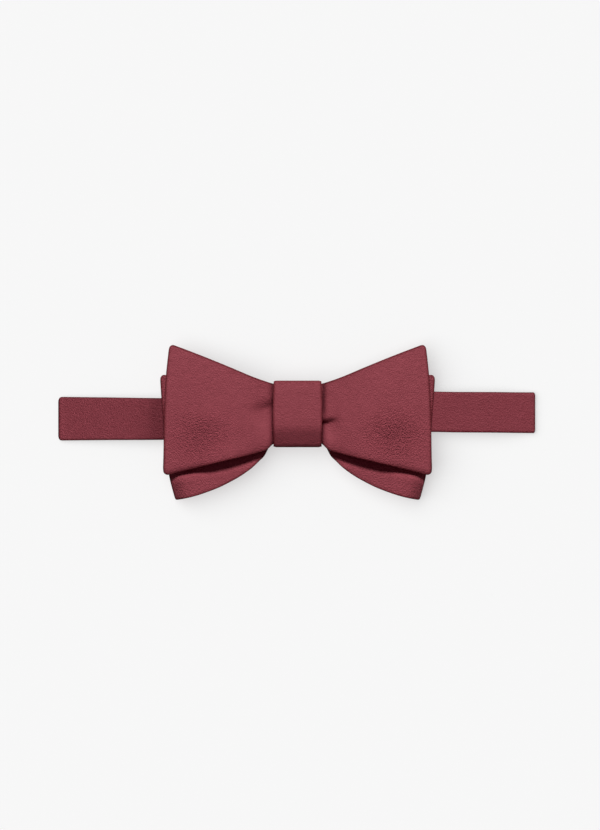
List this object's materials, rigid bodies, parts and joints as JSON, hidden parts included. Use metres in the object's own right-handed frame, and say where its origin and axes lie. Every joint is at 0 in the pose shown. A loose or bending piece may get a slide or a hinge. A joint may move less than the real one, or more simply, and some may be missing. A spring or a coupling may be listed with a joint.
{
  "type": "bow tie",
  "caption": "Pre-tied satin bow tie lying flat: stacked bow layers, wrapped knot, and a neckband folded behind them with a hook clasp and a slider for length.",
  "frame": {"origin": "on the surface that the tie lies on, under the middle of its whole outline", "axes": "+X along the neckband towards the eye's tail, +Y to the top of the bow, +Z out of the bow's front"},
  "size_m": [0.2142, 0.0686, 0.0152],
  "materials": {
    "satin": "matte dusty-red satin",
    "interlining": "unbleached woven interlining",
    "thread": "dull polyester thread",
    "label": "blank woven label",
    "clasp_metal": "nickel-plated stamping"
  },
  "bodies": {
    "bow_and_band": {"front_bow_face": "satin", "front_bow_interlining": "interlining", "front_bow_lining": "satin", "rear_bow_face": "satin", "rear_bow_interlining": "interlining", "rear_bow_lining": "satin", "bow_tack_thread": "thread", "knot_interlining": "interlining", "knot_wrap": "satin", "knot_closing_stitches": "thread", "neckband_front": "satin", "neckband_front_core": "interlining", "left_fold": "satin", "right_fold": "satin"},
    "hook_tail": {"left_tail": "satin", "left_tail_core": "interlining", "hook_strap_end": "satin", "hook_bar_tack": "thread", "size_label": "label", "label_stitches": "thread"},
    "hook_body": {"hook": "clasp_metal"},
    "eye_tail": {"right_tail": "satin", "right_tail_core": "interlining"},
    "slider_body": {"slider": "clasp_metal", "slider_weave": "satin", "slider_strap_end": "satin", "slider_bar_tack": "thread", "loop_lower_ply": "satin", "loop_upper_ply": "satin"},
    "eye_loop": {"eye_turn": "satin"},
    "eye_body": {"eye": "clasp_metal"}
  },
  "joints": [
    {"name": "left_fold_hinge", "type": "hinge", "parent": "bow_and_band", "child": "hook_tail", "pos_m": [-0.106, 0.00219, 0.0011], "axis": [0, 1, 0], "range_deg": [0, 176], "deforming": ["left_fold"]},
    {"name": "hook_swivel", "type": "hinge", "parent": "hook_tail", "child": "hook_body", "pos_m": [-0.016, 0.00499, 0.00125], "axis": [0, 1, 0], "range_deg": [0, 60]},
    {"name": "right_fold_hinge", "type": "hinge", "parent": "bow_and_band", "child": "eye_tail", "pos_m": [0.106, 0.00499, 0.0011], "axis": [0, -1, 0], "range_deg": [0, 176], "deforming": ["right_fold"]},
    {"name": "slider_adjust", "type": "slide", "parent": "eye_tail", "child": "slider_body", "axis": [1, 0, 0], "range_m": [0, 0.056], "deforming": ["right_tail", "right_tail_core"]},
    {"name": "eye_travel", "type": "slide", "parent": "slider_body", "child": "eye_loop", "axis": [1, 0, 0], "range_m": [-0.028, 0], "deforming": ["loop_lower_ply", "loop_upper_ply"]},
    {"name": "eye_swivel", "type": "hinge", "parent": "eye_loop", "child": "eye_body", "pos_m": [0.014, 0.00499, 0.00125], "axis": [0, -1, 0], "range_deg": [0, 60]}
  ],
  "couplings": [
    {"joint": "eye_travel", "follows": "slider_adjust", "ratio": -0.5}
  ]
}
